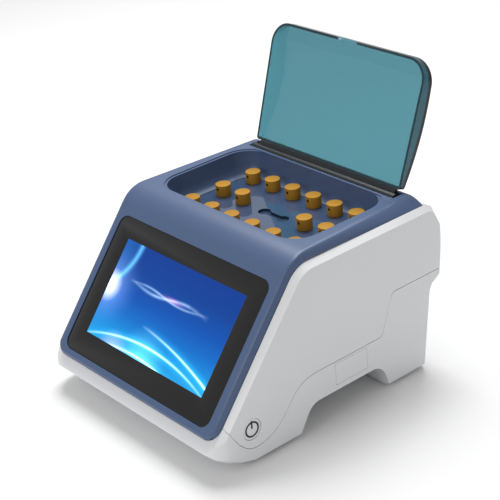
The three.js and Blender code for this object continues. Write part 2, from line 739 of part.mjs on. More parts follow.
function powerSwitch() {
  const half = SWITCH.size / 2;
  return box(CASE_HALF - SWITCH.far, CASE_HALF - SWITCH.near, BUTTON.y - half, BUTTON.y + half,
    BUTTON.z - half, BUTTON.z + half);
}

function switchBracket() {
  const plate = box(CASE_HALF - SWITCH.near + GAP, CASE_HALF - 8.6, BUTTON.y - 12, BUTTON.y + 12,
    BUTTON.z - 9, BUTTON.z + 12);
  return plate.subtract(round(BUTTON.stem + 1, 20, [CASE_HALF - 10, BUTTON.y, BUTTON.z], 'x', 20));
}

// ---------- feet ----------

function foot(x, y) {
  const height = FOOT_HEIGHT + FOOT.buried;
  return round(FOOT.radius, height, [x, y, height / 2], 'z', 24);
}

// ---------- lid, drawn closed, about the hinge pin ----------

function lidOutline(shrink) {
  const heel = LID.heelHalf - shrink;
  const free = LID.freeHalf - shrink;
  const back = LID_HEEL_Y - PIN.y - shrink;
  const front = LID_HEEL_Y - PIN.y - LID.length + shrink;
  const corner = LID.radius - shrink;
  const heelCorner = Math.max(LID.heelRadius - shrink, 0.8);
  const shape = new THREE.Shape();
  shape.moveTo(-free + corner, front);
  shape.lineTo(free - corner, front);
  shape.absarc(free - corner, front + corner, corner, -Math.PI / 2, 0);
  shape.lineTo(heel, back - heelCorner);
  shape.quadraticCurveTo(heel, back, heel - heelCorner, back);
  shape.lineTo(-heel + heelCorner, back);
  shape.quadraticCurveTo(-heel, back, -heel, back - heelCorner);
  shape.lineTo(-free, front + corner);
  shape.absarc(-free + corner, front + corner, corner, Math.PI, Math.PI * 1.5);
  return shape;
}

// The lid's bowed top, seen from the side: shallow at the hinge, deepest in the middle.
function lidBow(lower) {
  const back = LID_HEEL_Y - PIN.y;
  const front = back - LID.length;
  const rim = LID_RIM_Z - PIN.z;
  const shape = new THREE.Shape();
  shape.moveTo(front - 5, rim - 10);
  shape.lineTo(back + 5, rim - 10);
  const top = rim - lower;
  shape.lineTo(back + 5, top + LID_HEIGHT.heel);
  shape.quadraticCurveTo(back - 30, top + LID_HEIGHT.rise, back - 58, top + LID_HEIGHT.middle);
  shape.quadraticCurveTo(front + 20, top + LID_HEIGHT.middle, front - 5, top + LID_HEIGHT.free);
  return shape;
}

function lidBody(shrink, lower) {
  const rim = LID_RIM_Z - PIN.z;
  const bow = polygon(lidBow(lower).getPoints(10).map((p) => [p.x, p.y]));
  return prismZ(lidOutline(shrink), rim - lower * 2, rim + 20).intersect(prismX(bow, -130, 130));
}

function lidShell() {
  const front = LID_HEEL_Y - PIN.y - LID.length;
  const rim = LID_RIM_Z - PIN.z;
  const notch = round(LID_NOTCH.radius, 12, [0, front, rim - LID_NOTCH.below], 'y', 48);
  return lidBody(0, 0).subtract(lidBody(LID.wall, LID.wall)).subtract(notch);
}

function hingeBar() {
  const rim = LID_RIM_Z - PIN.z;
  const heel = LID_HEEL_Y - PIN.y + GAP;
  const tongue = polygon([
    [-1.5, -1.5],
    [1.5, 1.5],
    [-1, 3.9],
    [heel, rim + 3.3],
    [heel, rim + 0.3],
    [-3.2, 2],
  ]);
  let bar = round(BAR_RADIUS, 2 * TROUGH.half - 3, [0, 0, 0], 'x', 28);
  bar = bar.add(prismX(tongue, -84, 84));
  for (const side of [-1, 1]) {
    bar = bar.subtract(round(PIN.radius + GAP, 24, [side * 88, 0, 0], 'x', 16));
  }
  return bar;
}


// ---------- assembly ----------

const object = new THREE.Group();
object.position.y = -CENTRE_Y;

function part(name, body, look, parent = object) {
  const mesh = new THREE.Mesh(geometryOf(body), new THREE.MeshStandardMaterial(look));
  mesh.name = name;
  parent.add(mesh);
}

part('base_shell', baseShell(), WHITE);
part('upper_shell', upperShell(), WHITE);
part('top_cover', topCover(), BLUE);
part('side_hatch', hatchBox(HATCH.thick, 0, 0), WHITE);

part('screen_glass', screenGlass(), GLASS_BLACK);
part('display_panel', displayPanel(), BLACK);
part('screen_bracket', screenBracket(), STEEL);
part('control_board', controlBoard(), GREEN);

part('block_plate', blockPlate(), DEEP_BLUE);
part('heating_block', heatingBlock(), ALUMINIUM);
POST_PLACES.forEach(([x, y], i) => {
  part(`heating_post_${String(i + 1).padStart(2, '0')}`, heatingPost(x, y), GOLD);
});
part('block_insulation', insulation(), FOAM);
part('block_sensor', round(SENSOR.radius, SENSOR.length, [SENSOR.x, SENSOR.y, SENSOR_Z], 'x', 12), STEEL);
part('peltier_left', peltier(-1), CERAMIC);
part('peltier_right', peltier(1), CERAMIC);
part('heatsink', heatsink(), ALUMINIUM);
part('fan_frame', fanFrame(), BLACK);
part('fan_rotor', fanRotor(), BLACK);

part('power_supply', powerSupply(), STEEL);
part('power_button', powerButton(), WHITE);
part('power_switch', powerSwitch(), BLACK);
part('switch_bracket', switchBracket(), STEEL);

part('rear_panel', rearPanel(), BLACK);
part('mains_inlet', mainsInlet(), BLACK);
part('usb_port', usbPort(), STEEL);

FOOT_PLACES.forEach(([x, y], i) => {
  part(`foot_${i + 1}`, foot(x, y), RUBBER);
});

part('hinge_pin_left', pinBar(-1, 0), STEEL);
part('hinge_pin_right', pinBar(1, 0), STEEL);

const lid = new THREE.Group();
lid.position.set(0, PIN.y, PIN.z);
lid.rotation.x = -LID_OPEN;
object.add(lid);
part('lid', lidShell(), TEAL, lid);
part('lid_hinge_bar', hingeBar(), BLACK, lid);

export default object;
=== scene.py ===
"""Bench block heater: white case, sloped touch screen, heated well and see-through lid."""
import json
import math

import bpy
from mathutils import Matrix, Vector


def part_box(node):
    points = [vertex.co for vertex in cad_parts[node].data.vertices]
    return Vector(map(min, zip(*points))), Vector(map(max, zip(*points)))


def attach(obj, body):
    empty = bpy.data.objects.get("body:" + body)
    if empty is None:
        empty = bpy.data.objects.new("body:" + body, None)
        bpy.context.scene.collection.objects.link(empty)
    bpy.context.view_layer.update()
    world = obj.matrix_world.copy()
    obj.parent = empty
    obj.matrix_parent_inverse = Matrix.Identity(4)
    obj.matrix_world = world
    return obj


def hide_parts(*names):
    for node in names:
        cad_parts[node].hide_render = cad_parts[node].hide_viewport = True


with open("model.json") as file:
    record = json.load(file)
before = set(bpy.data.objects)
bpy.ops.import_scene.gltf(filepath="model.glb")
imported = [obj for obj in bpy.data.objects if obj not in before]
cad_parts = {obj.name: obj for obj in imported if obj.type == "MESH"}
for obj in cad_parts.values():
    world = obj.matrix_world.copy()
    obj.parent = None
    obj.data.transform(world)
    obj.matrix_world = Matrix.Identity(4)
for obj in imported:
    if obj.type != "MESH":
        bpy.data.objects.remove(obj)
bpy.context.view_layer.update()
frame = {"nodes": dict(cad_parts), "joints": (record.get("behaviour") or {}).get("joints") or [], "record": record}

bl_info = {
    "name": "Bench block heater",
    "version": (1, 0, 0),
    "blender": (4, 5, 0),
    "location": "View3D > Sidebar > Heater",
    "description": "Finishes the bench block heater around its packed frame",
    "category": "Object",
}

MM = 0.001
SLOT_OF = {row["node"]: row["material_slot"] for row in frame["record"]["subparts"]}
BODY_OF = {node: body for body, nodes in frame["record"]["behaviour"]["bodies"].items() for node in nodes}


# ---------- colours ----------

def linear(code):
    """An sRGB hex colour as linear RGBA."""
    values = [int(code[i:i + 2], 16) / 255 for i in (1, 3, 5)]
    return tuple(v / 12.92 if v <= 0.04045 else ((v + 0.055) / 1.055) ** 2.4 for v in values) + (1.0,)


def scaled(colour, factor):
    return tuple(c * factor for c in colour[:3]) + (1.0,)


# ---------- sizes and colours a user would change ----------

def colour_property(name, description, code):
    return bpy.props.FloatVectorProperty(
        name=name, description=description, subtype="COLOR", size=4, min=0, max=1, default=linear(code))


def length_property(name, description, millimetres):
    return bpy.props.FloatProperty(
        name=name, description=description, unit="LENGTH", subtype="DISTANCE", min=0,
        default=millimetres * MM)


class HeaterLook(bpy.types.PropertyGroup):
    case_white: colour_property("Case white", "Colour of the moulded case", "#dcdddf")
    cover_blue: colour_property("Cover blue", "Colour of the cover and the well walls", "#43577a")
    floor_blue: colour_property("Floor blue", "Colour of the gloss plate in the well", "#3a4f6e")
    lid_teal: colour_property("Lid teal", "Tint of the lid's wall", "#55929f")
    lid_edge: colour_property("Lid edge teal", "Tint where a look goes through more acrylic", "#0d2b33")
    post_gold: colour_property("Post gold", "Colour of the anodised posts", "#ad7f2a")
    glass_black: colour_property("Glass black", "Print behind the screen's glass", "#0b0b0b")
    mark_black: colour_property("Mark black", "Ring and bar on the power button", "#050505")


class HeaterSizes(bpy.types.PropertyGroup):
    post_edge: length_property("Post edge", "Rounding of a post's top edge", 0.7)
    post_hole: length_property("Post hole", "Radius of the hole in a post's side", 1.25)
    post_hole_below: length_property("Hole below top", "Middle of that hole under the post's top", 3.7)
    mark_radius: length_property("Mark radius", "Outer radius of the ring on the power button", 6.9)
    mark_line: length_property("Mark line", "Line width of the ring and the bar", 1.5)
    screen_width: length_property("Picture width", "Lit width of the display", 154.2)
    screen_height: length_property("Picture height", "Lit height of the display", 86)
    key_size: length_property("Overhead light", "Side of the square overhead light", 900)
    key_power: bpy.props.FloatProperty(
        name="Overhead power", description="Power of the overhead light", unit="POWER", min=0, default=24)
    fill: bpy.props.FloatProperty(
        name="Ambient", description="Strength of the even light from all round", min=0, default=0.54)


# ---------- shaping helpers ----------

def deselect():
    bpy.ops.object.select_all(action="DESELECT")


def activate(piece):
    deselect()
    piece.select_set(True)
    bpy.context.view_layer.objects.active = piece


def apply_modifier(piece, kind, **settings):
    activate(piece)
    modifier = piece.modifiers.new(kind.title(), kind)
    for key, value in settings.items():
        setattr(modifier, key, value)
    bpy.ops.object.modifier_apply(modifier=modifier.name)


def apply_place(piece):
    activate(piece)
    bpy.ops.object.transform_apply(location=True, rotation=True, scale=True)


def cut(piece, cutter):
    """Takes the cutter out of the piece and removes the cutter."""
    apply_place(cutter)
    apply_place(piece)
    apply_modifier(piece, "BOOLEAN", operation="DIFFERENCE", solver="EXACT", object=cutter)
    bpy.data.objects.remove(cutter, do_unlink=True)


def smooth(piece, degrees):
    activate(piece)
    bpy.ops.object.shade_smooth_by_angle(angle=math.radians(degrees))


def select_faces(piece, way):
    """Enters edit mode with only the faces selected that look the given way."""
    bpy.ops.object.mode_set(mode="EDIT")
    bpy.ops.mesh.select_mode(type="FACE")
    bpy.ops.mesh.select_all(action="DESELECT")
    bpy.ops.object.mode_set(mode="OBJECT")
    for face in piece.data.polygons:
        face.select = face.normal.dot(way) > 0.9
    bpy.ops.object.mode_set(mode="EDIT")


def finish_piece(piece, name, material, *nodes, body=None, slot=None):
    """Puts a piece's place into its mesh, names it, gives it its material, hangs it under its body and hides the
    CAD nodes it stands for.
    """
    apply_place(piece)
    piece.name = name
    piece.data.name = name
    piece.data.materials.clear()
    piece.data.materials.append(material)
    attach(piece, body or BODY_OF[nodes[0]])
    if nodes:
        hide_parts(*nodes)
    return piece


def merged_copy(node):
    """A copy of a CAD node with its loose triangles joined."""
    piece = frame["nodes"][node].copy()
    piece.data = piece.data.copy()
    for key in list(piece.keys()):
        del piece[key]
    piece.parent = None
    bpy.context.scene.collection.objects.link(piece)
    activate(piece)
    bpy.ops.object.mode_set(mode="EDIT")
    bpy.ops.mesh.select_all(action="SELECT")
    bpy.ops.mesh.remove_doubles(threshold=0.005 * MM)
    bpy.ops.object.mode_set(mode="OBJECT")
    bpy.ops.mesh.customdata_custom_splitnormals_clear()
    return piece


def box_of(node):
    low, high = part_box(node)
    return Vector(low), Vector(high), (Vector(low) + Vector(high)) / 2


# ---------- the sloped front face ----------

SLOPE = math.radians(51.2)   # the face's lean from level
OUT_OF_FACE = Vector((0, -math.sin(SLOPE), math.cos(SLOPE)))


# ---------- materials ----------

def add_node(tree, kind, settings=None, links=None):
    """Adds a node; settings name its attributes or inputs, links name its inputs."""
    node = tree.nodes.new(kind)
    for key, value in (settings or {}).items():
        if isinstance(key, str) and hasattr(node, key):
            setattr(node, key, value)
        else:
            node.inputs[key].default_value = value
    for key, source in (links or {}).items():
        tree.links.new(source, node.inputs[key])
    return node


def new_material(name):
    material = bpy.data.materials.new(name)
    material.use_nodes = True
    tree = material.node_tree
    tree.nodes.clear()
    place = add_node(tree, "ShaderNodeTexCoord").outputs["Object"]
    return material, tree, place


def close_material(tree, shader):
    add_node(tree, "ShaderNodeOutputMaterial", None, {"Surface": shader.outputs[0]})


def moulded(name, colour, roughness, grain_mm, depth_mm, shade=0.03, coat=0.0, ior=1.53):
    """A moulded polymer: even colour, slight clouding, and a fine tool grain in gloss and relief."""
    material, tree, place = new_material(name)
    grain = add_node(tree, "ShaderNodeTexNoise", {"Scale": 1 / (grain_mm * MM), "Detail": 3.0},
                     {"Vector": place})
    cloud = add_node(tree, "ShaderNodeTexNoise", {"Scale": 9.0, "Detail": 2.0}, {"Vector": place})
    tone = add_node(tree, "ShaderNodeMix", {"data_type": "RGBA", 6: scaled(colour, 1 - shade), 7: colour},
                    {0: cloud.outputs["Fac"]})
    rough = add_node(tree, "ShaderNodeMapRange",
                     {"To Min": max(roughness - 0.04, 0.0), "To Max": roughness + 0.04},
                     {"Value": grain.outputs["Fac"]})
    bump = add_node(tree, "ShaderNodeBump", {"Strength": 0.25, "Distance": depth_mm * MM},
                    {"Height": grain.outputs["Fac"]})
    shader = add_node(tree, "ShaderNodeBsdfPrincipled",
                      {"IOR": ior, "Coat Weight": coat, "Coat Roughness": 0.03},
                      {"Base Color": tone.outputs[2], "Roughness": rough.outputs["Result"],
                       "Normal": bump.outputs["Normal"]})
    close_material(tree, shader)
    return material


def machined(name, colour, roughness, grain_mm, stretch=(1, 1, 1), depth_mm=0.02, metallic=1.0,
             specular=0.5):
    """A metal with the fine tool marks of its making, drawn out along the stretch."""
    material, tree, place = new_material(name)
    along = add_node(tree, "ShaderNodeMapping", {"Scale": stretch}, {"Vector": place})
    grain = add_node(tree, "ShaderNodeTexNoise", {"Scale": 1 / (grain_mm * MM), "Detail": 4.0},
                     {"Vector": along.outputs["Vector"]})
    tone = add_node(tree, "ShaderNodeMix", {"data_type": "RGBA", 6: scaled(colour, 0.93), 7: colour},
                    {0: grain.outputs["Fac"]})
    rough = add_node(tree, "ShaderNodeMapRange", {"To Min": roughness - 0.06, "To Max": roughness + 0.06},
                     {"Value": grain.outputs["Fac"]})
    bump = add_node(tree, "ShaderNodeBump", {"Strength": 0.3, "Distance": depth_mm * MM},
                    {"Height": grain.outputs["Fac"]})
    shader = add_node(tree, "ShaderNodeBsdfPrincipled",
                      {"Metallic": metallic, "Specular IOR Level": specular},
                      {"Base Color": tone.outputs[2], "Roughness": rough.outputs["Result"],
                       "Normal": bump.outputs["Normal"]})
    close_material(tree, shader)
    return material


def tinted_acrylic(name, colour, edge_colour):
    """Polished cast acrylic: clear with a teal tint that deepens where the look is slanting."""
    material, tree, place = new_material(name)
    wave = add_node(tree, "ShaderNodeTexNoise", {"Scale": 12.0, "Detail": 1.0}, {"Vector": place})
    bump = add_node(tree, "ShaderNodeBump", {"Strength": 0.03, "Distance": 0.2 * MM},
                    {"Height": wave.outputs["Fac"]})
    slant = add_node(tree, "ShaderNodeLayerWeight", {"Blend": 0.4})
    tone = add_node(tree, "ShaderNodeMix", {"data_type": "RGBA", 6: colour, 7: edge_colour},
                    {0: slant.outputs["Facing"]})
    shader = add_node(tree, "ShaderNodeBsdfPrincipled",
                      {"Roughness": 0.02, "IOR": 1.49, "Transmission Weight": 1.0},
                      {"Base Color": tone.outputs[2], "Normal": bump.outputs["Normal"]})
    close_material(tree, shader)
    return material


def lit_picture(name, half_height, middle):
    """A lit LCD behind bonded glass: a blue evening sky over bright arcs. Lengths are half heights."""
    material, tree, place = new_material(name)
    centred = add_node(tree, "ShaderNodeVectorMath", {"operation": "SUBTRACT", 1: middle}, {0: place})
    flat = add_node(tree, "ShaderNodeMapping", {"Rotation": (-SLOPE, 0, 0)}, {0: centred.outputs[0]})
    unit = add_node(tree, "ShaderNodeVectorMath", {"operation": "MULTIPLY",
                                                   1: (1 / half_height, 1 / half_height, 0)},
                    {0: flat.outputs[0]})
    spot = unit.outputs[0]
    parts = add_node(tree, "ShaderNodeSeparateXYZ", None, {0: spot})

    def math_of(operation, *values):
        settings = {"operation": operation}
        links = {}
        for i, value in enumerate(values):
            (links if isinstance(value, bpy.types.NodeSocket) else settings)[i] = value
        return add_node(tree, "ShaderNodeMath", settings, links).outputs[0]

    def falloff(value, reach, power=1.0):
        """1 at no distance, sinking to 0 at the reach."""
        near = math_of("SUBTRACT", 1.0, math_of("DIVIDE", value, reach))
        return math_of("POWER", math_of("MAXIMUM", near, 0.0), power)

    def distance_to(x, y):
        return add_node(tree, "ShaderNodeVectorMath", {"operation": "DISTANCE", 1: (x, y, 0)},
                        {0: spot}).outputs["Value"]

    def arc(x, y, radius, width, power=2.0):
        away = math_of("ABSOLUTE", math_of("SUBTRACT", distance_to(x, y), radius))
        return falloff(away, width, power)

    height = math_of("MULTIPLY_ADD", parts.outputs["Y"], 0.5, 0.5)
    sky = add_node(tree, "ShaderNodeValToRGB", None, {0: height})
    stops = sky.color_ramp.elements
    stops[0].position, stops[0].color = 0.0, linear("#1fa6ee")
    stops[1].position, stops[1].color = 1.0, linear("#003c98")
    for position, code in ((0.16, "#0f90e2"), (0.32, "#0470cc"), (0.5, "#0056b8"), (0.75, "#00439c")):
        stop = stops.new(position)
        stop.color = linear(code)

    def add_light(base, amount, code, strength):
        tint = scaled(linear(code), strength)
        light = add_node(tree, "ShaderNodeMix", {"data_type": "RGBA", 6: (0, 0, 0, 1), 7: tint}, {0: amount})
        both = add_node(tree, "ShaderNodeMix", {"data_type": "RGBA", "blend_type": "ADD", 0: 1.0},
                        {6: base, 7: light.outputs[2]})
        return both.outputs[2]

    colour = sky.outputs[0]
    # the globe of light at the left edge, its rim and its glow
    colour = add_light(colour, falloff(distance_to(-2.45, 1.0), 1.3, 0.7), "#3fa4e6", 0.35)
    colour = add_light(colour, arc(-2.45, 1.0, 1.14, 0.13), "#6fd0ff", 0.9)
    colour = add_light(colour, falloff(distance_to(-1.74, 0.04), 0.95, 2.2), "#8fb9ff", 0.9)
    colour = add_light(colour, falloff(distance_to(-1.74, 0.04), 0.36, 1.2), "#fff4ff", 1.6)
    # the horizon arcs, each a wide cyan haze with a thin white line in it
    for x, y, radius, peak_x, reach in (
        (0.0, -6.2, 5.5, 0.0, 2.0), (-0.3, -5.95, 5.0, -0.1, 1.2), (-1.2, -9.6, 9.26, 1.7, 2.1),
    ):
        window = falloff(math_of("ABSOLUTE", math_of("SUBTRACT", parts.outputs["X"], peak_x)), reach, 0.8)
        colour = add_light(colour, math_of("MULTIPLY", arc(x, y, radius, 0.17), window), "#2fc6f0", 0.8)
        colour = add_light(colour, math_of("MULTIPLY", arc(x, y, radius, 0.035, 1.2), window), "#e8ffff", 1.4)
    colour = add_light(colour, falloff(distance_to(-0.1, -1.1), 0.8, 1.6), "#7ff6ff", 0.9)
    colour = add_light(colour, falloff(distance_to(-0.95, -1.15), 0.5, 1.4), "#ffd0ff", 0.7)
    # two soft strands of light that cross in the sky, broken by noise
    window = falloff(math_of("ABSOLUTE", math_of("ADD", parts.outputs["X"], 0.05)), 1.2, 0.7)
    streaks = add_node(tree, "ShaderNodeTexNoise", {"Scale": 2.2, "Detail": 2.0}, {"Vector": spot})
    broken = math_of("MULTIPLY", streaks.outputs["Fac"], window)
    for swing, phase, width in ((0.055, 0.0, 0.06), (-0.045, 0.6, 0.045)):
        turn = math_of("MULTIPLY_ADD", parts.outputs["X"], 3.1, phase)
        wave = math_of("MULTIPLY", math_of("SINE", turn), swing)
        height_off = math_of("SUBTRACT", math_of("SUBTRACT", parts.outputs["Y"], 0.29), wave)
        strand = falloff(math_of("ABSOLUTE", height_off), width, 2.0)
        colour = add_light(colour, math_of("MULTIPLY", strand, broken), "#bfe9ff", 1.5)
    ribbon = falloff(math_of("ABSOLUTE", math_of("SUBTRACT", parts.outputs["Y"], 0.3)), 0.085, 2.0)
    pink = falloff(distance_to(0.1, 0.33), 0.42, 1.5)
    colour = add_light(colour, math_of("MULTIPLY", ribbon, pink), "#ff8fe0", 0.7)

    shader = add_node(tree, "ShaderNodeBsdfPrincipled",
                      {"Base Color": (0.002, 0.002, 0.002, 1), "Roughness": 0.12, "IOR": 1.5,
                       "Specular IOR Level": 0.2, "Emission Strength": 1.0},
                      {"Emission Color": colour})
    close_material(tree, shader)
    return material


MATERIALS = {}


def build_materials(look, sizes):
    # Moulded ABS: matt white with a fine spark grain that spreads the highlights.
    MATERIALS["white"] = moulded("case_white_moulded_abs", look.case_white, 0.4, 0.9, 0.03, 0.02)
    # The same ABS dyed slate blue.
    MATERIALS["blue"] = moulded("cover_blue_moulded_abs", look.cover_blue, 0.43, 0.8, 0.03, 0.03)
    # Lacquered plate: mirrors the posts that stand on it.
    MATERIALS["floor"] = moulded("well_floor_gloss_lacquer", look.floor_blue, 0.07, 3.0, 0.004, 0.02, 0.6)
    # The same plate inside its slot, its blue darkened as painted shade: dull and dark.
    MATERIALS["slot"] = moulded("slot_painted_shade_plate", scaled(look.floor_blue, 0.55), 0.65, 1.0, 0.02,
                                 ior=1.2)
    MATERIALS["lid"] = tinted_acrylic("lid_teal_cast_acrylic", look.lid_teal, look.lid_edge)
    # The sheet's edge all round the lid's mouth, coloured almost black as painted shade: light runs along the
    # sheet, so it looks dark.
    MATERIALS["lid_rim"] = moulded("lid_acrylic_edge_painted_shade", linear("#10323a"), 0.15, 3.0, 0.002, 0.05)
    # Float glass printed black behind: flat, deep and sharp in its reflections.
    MATERIALS["glass"] = moulded("screen_float_glass_printed", look.glass_black, 0.1, 5.0, 0.002, 0.01)
    # Acetal of the hinge: dark, slightly waxy.
    MATERIALS["hinge"] = moulded("hinge_acetal_moulded", linear("#0d1318"), 0.4, 0.7, 0.02, 0.04)
    # Turned and gold-anodised aluminium: warm, satin, with fine turning marks round it.
    MATERIALS["gold"] = machined("post_gold_anodised_aluminium", look.post_gold, 0.55, 0.5, (1, 1, 6),
                                 0.01, metallic=0.2, specular=0.15)
    # Zinc-plated pressed steel: cool grey with a slight spangle.
    MATERIALS["steel"] = machined("pressed_steel_zinc_plated", linear("#a6a8ab"), 0.35, 1.4)
    # Milled aluminium: pale with long cutter marks.
    MATERIALS["aluminium"] = machined("milled_aluminium", linear("#b9bbbe"), 0.38, 0.8, (0.1, 1, 1))
    # Black ABS of the fittings: matt with a visible grain. Also laid inside the posts' bores as painted shade.
    MATERIALS["black"] = moulded("fitting_black_abs_and_bore_painted_shade", linear("#1b1c1e"), 0.45, 0.8, 0.05, 0.05)
    # Pad-printed ink on the button: dead black, hardly shiny.
    MATERIALS["ink"] = moulded("button_mark_printed_ink", look.mark_black, 0.55, 0.4, 0.01, 0.05)
    # Moulded rubber of the feet: dull and dusty black.
    MATERIALS["rubber"] = moulded("foot_moulded_rubber", linear("#202020"), 0.78, 0.6, 0.06, 0.12)
    # Green solder mask over fibre board.
    MATERIALS["board"] = moulded("board_solder_mask", linear("#1d5a3a"), 0.3, 1.5, 0.02, 0.1)
    # Closed-cell foam: dark and quite rough.
    MATERIALS["foam"] = moulded("closed_cell_foam", linear("#2e3034"), 0.88, 0.7, 0.25, 0.25)
    # Pressed alumina plates: chalky white.
    MATERIALS["ceramic"] = moulded("peltier_pressed_alumina", linear("#e6e2d8"), 0.5, 0.7, 0.02, 0.04)
    MATERIALS["picture"] = lit_picture("display_lit_lcd", sizes.screen_height / 2,
                                       box_of("display_panel")[2])


SLOT_MATERIAL = {
    "white_shell": "white", "blue_cover": "blue", "teal_lid": "lid", "dark_hinge": "hinge",
    "black_glass": "glass", "display": "black", "deep_blue_plate": "floor", "gold_post": "gold",
    "block_metal": "aluminium", "sheet_steel": "steel", "pin_steel": "steel", "circuit_board": "board",
    "insulation_foam": "foam", "white_ceramic": "ceramic", "black_plastic": "black",
    "foot_rubber": "rubber",
}


# ---------- pieces ----------

class HEATER_OT_nodes(bpy.types.Operator):
    """Give every CAD node its real material"""
    bl_idname = "heater.nodes"
    bl_label = "CAD nodes"

    def execute(self, context):
        for name, slot in SLOT_OF.items():
            node = frame["nodes"][name]
            node.data.materials.clear()
            node.data.materials.append(MATERIALS[SLOT_MATERIAL[slot]])
        return {"FINISHED"}


class HEATER_OT_case(bpy.types.Operator):
    """Finish the moulded pieces: case halves, cover, well plate, hatch, rear panel and hinge bar"""
    bl_idname = "heater.case"
    bl_label = "Moulded case"

    def paint_slot_shade(self, plate):
        """The lifting slot's floor and walls are darker than the lacquer: painted shade in the recess."""
        low, high, middle = box_of("block_plate")
        reach_x, reach_y = 20 * MM, 12 * MM
        skin = 0.1 * MM
        plate.data.materials.append(MATERIALS["slot"])
        for face in plate.data.polygons:
            near = abs(face.center.x - middle.x) < reach_x and abs(face.center.y - middle.y) < reach_y
            if near and low.z + skin < face.center.z < high.z - skin:
                face.material_index = 1

    def execute(self, context):
        for node, degrees in (
            ("base_shell", 26), ("upper_shell", 26), ("side_hatch", 30), ("top_cover", 32),
            ("block_plate", 30), ("lid_hinge_bar", 40), ("rear_panel", 30), ("fan_frame", 30),
        ):
            piece = merged_copy(node)
            smooth(piece, degrees)
            material = MATERIALS[SLOT_MATERIAL[SLOT_OF[node]]]
            finish_piece(piece, node + "_moulded", material, node)
            # the slot's floor and walls get painted shade
            if node == "block_plate":
                self.paint_slot_shade(piece)
        return {"FINISHED"}


class HEATER_OT_screen(bpy.types.Operator):
    """Cut the window in the black glass and set the lit display in it"""
    bl_idname = "heater.screen"
    bl_label = "Touch screen"

    def execute(self, context):
        sizes = context.scene.heater_sizes
        panel_middle = box_of("display_panel")[2]
        glass = merged_copy("screen_glass")
        bpy.ops.mesh.primitive_cube_add(size=1, location=panel_middle, rotation=(SLOPE, 0, 0))
        window = context.object
        window.scale = (sizes.screen_width, sizes.screen_height, 40 * MM)
        cut(glass, window)
        apply_modifier(glass, "BEVEL", width=0.25 * MM, segments=2, limit_method="ANGLE",
                       angle_limit=math.radians(50))
        smooth(glass, 40)
        finish_piece(glass, "screen_glass_cut", MATERIALS["glass"], "screen_glass")

        face = max(vertex.co.dot(OUT_OF_FACE) for vertex in frame["nodes"]["screen_glass"].data.vertices)
        back = min(vertex.co.dot(OUT_OF_FACE) for vertex in frame["nodes"]["display_panel"].data.vertices)
        top = face - 0.08 * MM
        along = OUT_OF_FACE * ((top + back) / 2 - panel_middle.dot(OUT_OF_FACE))
        bpy.ops.mesh.primitive_cube_add(size=1, location=panel_middle + along, rotation=(SLOPE, 0, 0))
        display = context.object
        play = 0.1 * MM
        display.scale = (sizes.screen_width - play, sizes.screen_height - play, top - back)
        apply_place(display)
        apply_modifier(display, "BEVEL", width=0.1 * MM, segments=2)
        finish_piece(display, "display_picture", MATERIALS["picture"], "display_panel")
        return {"FINISHED"}


class HEATER_OT_lid(bpy.types.Operator):
    """Finish the see-through lid"""
    bl_idname = "heater.lid"
    bl_label = "Lid"

    def execute(self, context):
        lid = merged_copy("lid")
        smooth(lid, 32)
        finish_piece(lid, "lid_acrylic", MATERIALS["lid"], "lid")
        # the open rim looks out of the lid's mouth, square to the way the lid has turned
        hinge = next(joint for joint in frame["joints"] if joint["name"] == "lid_hinge")
        opened = -math.radians(max(hinge["range_deg"]))
        mouth = Matrix.Rotation(opened, 3, "X") @ Vector((0, 0, -1))
        rim = max(vertex.co.dot(mouth) for vertex in lid.data.vertices)
        # the rim faces take the dark edge colour as painted shade
        lid.data.materials.append(MATERIALS["lid_rim"])
        for face in lid.data.polygons:
            if face.normal.dot(mouth) > 0.99 and face.center.dot(mouth) > rim - 0.1 * MM:
                face.material_index = 1
        return {"FINISHED"}


class HEATER_OT_posts(bpy.types.Operator):
    """Turn one heating post with its bored side hole and set it at all sixteen places"""
    bl_idname = "heater.posts"
    bl_label = "Heating posts"

    def execute(self, context):
        sizes = context.scene.heater_sizes
        names = sorted(name for name in SLOT_OF if name.startswith("heating_post_"))
        low, high, middle = box_of(names[0])
        radius = (high.x - low.x) / 2
        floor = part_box("block_plate")[1][2] + 0.2 * MM
        bpy.ops.mesh.primitive_cylinder_add(vertices=64, radius=radius, depth=high.z - floor,
                                            location=(middle.x, middle.y, (high.z + floor) / 2))
        post = context.object
        apply_place(post)
        select_faces(post, Vector((0, 0, -1)))
        bpy.ops.mesh.inset(thickness=radius * 0.4)
        bpy.ops.mesh.extrude_region_move(TRANSFORM_OT_translate={"value": (0, 0, low.z - floor)})
        bpy.ops.object.mode_set(mode="OBJECT")
        bpy.ops.mesh.primitive_cylinder_add(
            vertices=28, radius=sizes.post_hole, depth=8 * MM, rotation=(math.pi / 2, 0, 0),
            location=(middle.x, middle.y - radius, high.z - sizes.post_hole_below))
        cut(post, context.object)
        apply_modifier(post, "BEVEL", width=sizes.post_edge, segments=3, limit_method="ANGLE",
                       angle_limit=math.radians(60), use_clamp_overlap=True)
        smooth(post, 35)
        for name in names:
            goal = box_of(name)[2]
            copy = post.copy()
            copy.data = post.data.copy()
            context.scene.collection.objects.link(copy)
            copy.location = goal - middle
            finish_piece(copy, name.replace("heating_post", "turned_post"), MATERIALS["gold"], name)
            # the bore's inner faces get the black ABS as painted shade: the deep hole is dark only from shade
            copy.data.materials.append(MATERIALS["black"])
            bore_z = high.z - sizes.post_hole_below + goal.z - middle.z
            for face in copy.data.polygons:
                off_axis = math.hypot(face.center.x - goal.x, face.center.z - bore_z)
                off_middle = math.hypot(face.center.x - goal.x, face.center.y - goal.y)
                in_bore = off_axis < sizes.post_hole * 1.02 and off_middle < radius - 0.2 * MM
                if in_bore and face.center.y < goal.y:
                    face.material_index = 1
        bpy.data.objects.remove(post, do_unlink=True)
        return {"FINISHED"}


